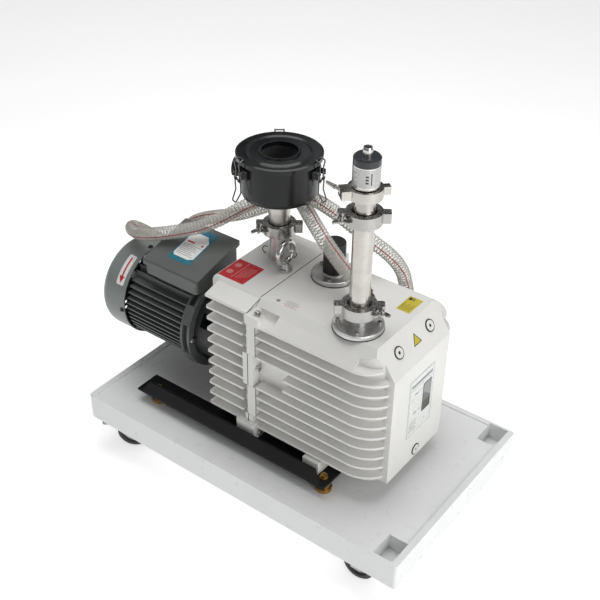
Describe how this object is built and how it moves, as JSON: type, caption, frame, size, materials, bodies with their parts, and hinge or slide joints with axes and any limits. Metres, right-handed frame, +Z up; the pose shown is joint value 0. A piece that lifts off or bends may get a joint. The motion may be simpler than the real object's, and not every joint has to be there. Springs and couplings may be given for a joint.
{
  "type": "rotary vane vacuum pump",
  "caption": "Oil-sealed rotary vane vacuum pump with electric motor, inlet filter, vacuum gauge and exhaust hoses on a wheeled platform.",
  "frame": {"origin": "on the floor, under the middle of the part without its hoses", "axes": "+X from the motor towards the oil casing, +Y towards the back, +Z up"},
  "size_m": [0.9289, 0.486, 0.9],
  "materials": {
    "black_cast": "satin",
    "black_plastic": "matte",
    "cast_iron": "machined",
    "caster_steel": "satin",
    "chrome_steel": "polished",
    "clamp_metal": "satin",
    "cowl_paint": "satin",
    "filter_felt": "matte",
    "filter_paint": "satin",
    "flange_metal": "machined",
    "foot_rubber": "matte",
    "gauge_steel": "satin",
    "hose_clear": "glossy",
    "knob_plastic": "matte",
    "lamination": "matte",
    "latch_wire": "satin",
    "machined_steel": "machined",
    "motor_paint": "satin",
    "plate_metal": "satin",
    "pump_paint": "satin",
    "rail_paint": "satin",
    "seal_rubber": "matte",
    "sight_glass": "clear",
    "stainless": "polished",
    "vane_composite": "matte",
    "wheel_rubber": "matte",
    "white_paint": "satin",
    "zinc_steel": "satin"
  },
  "bodies": {
    "pump_unit": {"ballast_flange": "flange_metal", "base_rails": "rail_paint", "caster_mounts": "caster_steel", "coupling_housing": "black_cast", "deck_ports": "stainless", "exhaust_port": "stainless", "eye_bolt": "chrome_steel", "fan_cowl": "cowl_paint", "filter_can": "filter_paint", "filter_element": "filter_felt", "filter_lid": "filter_paint", "gauge_adapter": "stainless", "gauge_body": "gauge_steel", "gauge_tube": "stainless", "hose_ends": "stainless", "hose_front": "hose_clear", "hose_rear": "hose_clear", "kf_clamps": "clamp_metal", "lever_clamp": "stainless", "motor_flange": "motor_paint", "motor_frame": "motor_paint", "motor_stator": "lamination", "nameplate": "plate_metal", "oil_casing": "pump_paint", "oil_plugs": "pump_paint", "platform": "white_paint", "pump_housing": "pump_paint", "pump_stator": "cast_iron", "rail_bolts": "zinc_steel", "rail_feet": "foot_rubber", "seal_rings": "seal_rubber", "shaft_bearings": "machined_steel", "sight_glass": "sight_glass", "socket_screws": "zinc_steel", "terminal_box": "motor_paint", "terminal_lid": "motor_paint"},
    "drive_line": {"motor_rotor": "machined_steel", "motor_fan": "black_plastic", "shaft_coupling": "machined_steel", "pump_rotor": "machined_steel", "pump_vanes": "vane_composite"},
    "ballast_knob": {"ballast_knob": "knob_plastic"},
    "clamp_lever": {"clamp_lever": "stainless"},
    "caster_fork_1": {"caster_fork_1": "caster_steel"},
    "caster_fork_2": {"caster_fork_2": "caster_steel"},
    "brake_pedal_1": {"brake_pedal_1": "caster_steel"},
    "brake_pedal_2": {"brake_pedal_2": "caster_steel"},
    "caster_wheel_1": {"caster_wheel_1": "wheel_rubber"},
    "caster_wheel_2": {"caster_wheel_2": "wheel_rubber"},
    "caster_wheel_3": {"caster_wheel_3": "wheel_rubber"},
    "caster_wheel_4": {"caster_wheel_4": "wheel_rubber"},
    "latch_lever_1": {"latch_lever_1": "latch_wire"},
    "latch_bail_1": {"latch_bail_1": "latch_wire"},
    "wing_nut_1": {"wing_nut_1": "clamp_metal"},
    "latch_lever_2": {"latch_lever_2": "latch_wire"},
    "latch_bail_2": {"latch_bail_2": "latch_wire"},
    "wing_nut_2": {"wing_nut_2": "clamp_metal"},
    "latch_lever_3": {"latch_lever_3": "latch_wire"},
    "latch_bail_3": {"latch_bail_3": "latch_wire"},
    "wing_nut_3": {"wing_nut_3": "clamp_metal"}
  },
  "joints": [
    {"name": "drive_spin", "type": "hinge", "parent": "pump_unit", "child": "drive_line", "pos_m": [0, 0, 0.318], "axis": [1, 0, 0], "continuous": true},
    {"name": "ballast_turn", "type": "hinge", "parent": "pump_unit", "child": "ballast_knob", "pos_m": [0.089, 0.05, 0.54], "axis": [0, 0, 1], "range_deg": [0, 90]},
    {"name": "caster_swivel_1", "type": "hinge", "parent": "pump_unit", "child": "caster_fork_1", "pos_m": [-0.33, -0.198, 0.1], "axis": [0, 0, 1], "continuous": true},
    {"name": "wheel_roll_1", "type": "hinge", "parent": "caster_fork_1", "child": "caster_wheel_1", "pos_m": [-0.30575, -0.184, 0.0375], "axis": [-0.5, 0.866, 0], "continuous": true},
    {"name": "brake_press_1", "type": "hinge", "parent": "caster_fork_1", "child": "brake_pedal_1", "pos_m": [-0.33953, -0.2035, 0.071], "axis": [0.5, -0.866, 0], "range_deg": [0, 12]},
    {"name": "caster_swivel_2", "type": "hinge", "parent": "pump_unit", "child": "caster_fork_2", "pos_m": [-0.33, 0.198, 0.1], "axis": [0, 0, 1], "continuous": true},
    {"name": "wheel_roll_2", "type": "hinge", "parent": "caster_fork_2", "child": "caster_wheel_2", "pos_m": [-0.30337, 0.18935, 0.0375], "axis": [0.309, 0.9511, 0], "continuous": true},
    {"name": "brake_press_2", "type": "hinge", "parent": "caster_fork_2", "child": "brake_pedal_2", "pos_m": [-0.34046, 0.2014, 0.071], "axis": [-0.309, -0.9511, 0], "range_deg": [0, 12]},
    {"name": "wheel_roll_3", "type": "hinge", "parent": "pump_unit", "child": "caster_wheel_3", "pos_m": [0.344, -0.188, 0.0375], "axis": [0, 1, 0], "continuous": true},
    {"name": "wheel_roll_4", "type": "hinge", "parent": "pump_unit", "child": "caster_wheel_4", "pos_m": [0.344, 0.188, 0.0375], "axis": [0, 1, 0], "continuous": true},
    {"name": "latch_open_1", "type": "hinge", "parent": "pump_unit", "child": "latch_lever_1", "pos_m": [-0.10526, 0.11528, 0.735], "axis": [0.788, 0.6157, 0], "range_deg": [0, 100]},
    {"name": "bail_swing_1", "type": "hinge", "parent": "latch_lever_1", "child": "latch_bail_1", "pos_m": [-0.1071, 0.11765, 0.723], "axis": [0.788, 0.6157, 0], "range_deg": [-130, 0]},
    {"name": "latch_open_2", "type": "hinge", "parent": "pump_unit", "child": "latch_lever_2", "pos_m": [-0.08284, -0.04423, 0.735], "axis": [-0.9272, 0.3746, 0], "range_deg": [0, 100]},
    {"name": "bail_swing_2", "type": "hinge", "parent": "latch_lever_2", "child": "latch_bail_2", "pos_m": [-0.08396, -0.04701, 0.723], "axis": [-0.9272, 0.3746, 0], "range_deg": [-130, 0]},
    {"name": "latch_open_3", "type": "hinge", "parent": "pump_unit", "child": "latch_lever_3", "pos_m": [0.0441, 0.05494, 0.735], "axis": [0.1392, -0.9903, 0], "range_deg": [0, 100]},
    {"name": "bail_swing_3", "type": "hinge", "parent": "latch_lever_3", "child": "latch_bail_3", "pos_m": [0.04707, 0.05536, 0.723], "axis": [0.1392, -0.9903, 0], "range_deg": [-130, 0]},
    {"name": "wing_nut_turn_1", "type": "hinge", "parent": "pump_unit", "child": "wing_nut_1", "pos_m": [-0.07357, 0.00488, 0.588], "axis": [0.5878, -0.809, 0], "continuous": true},
    {"name": "wing_nut_turn_2", "type": "hinge", "parent": "pump_unit", "child": "wing_nut_2", "pos_m": [0.2722, -0.05315, 0.56], "axis": [0.5878, -0.809, 0], "continuous": true},
    {"name": "wing_nut_turn_3", "type": "hinge", "parent": "pump_unit", "child": "wing_nut_3", "pos_m": [0.20343, -0.10312, 0.762], "axis": [0.5878, -0.809, 0], "continuous": true},
    {"name": "lever_swing", "type": "hinge", "parent": "pump_unit", "child": "clamp_lever", "pos_m": [0.19529, -0.09149, 0.813], "axis": [0, 0, 1], "range_deg": [0, 60]}
  ],
  "couplings": [
    {"joint": "bail_swing_1", "follows": "latch_open_1", "ratio": -1.25},
    {"joint": "bail_swing_2", "follows": "latch_open_2", "ratio": -1.25},
    {"joint": "bail_swing_3", "follows": "latch_open_3", "ratio": -1.25}
  ]
}
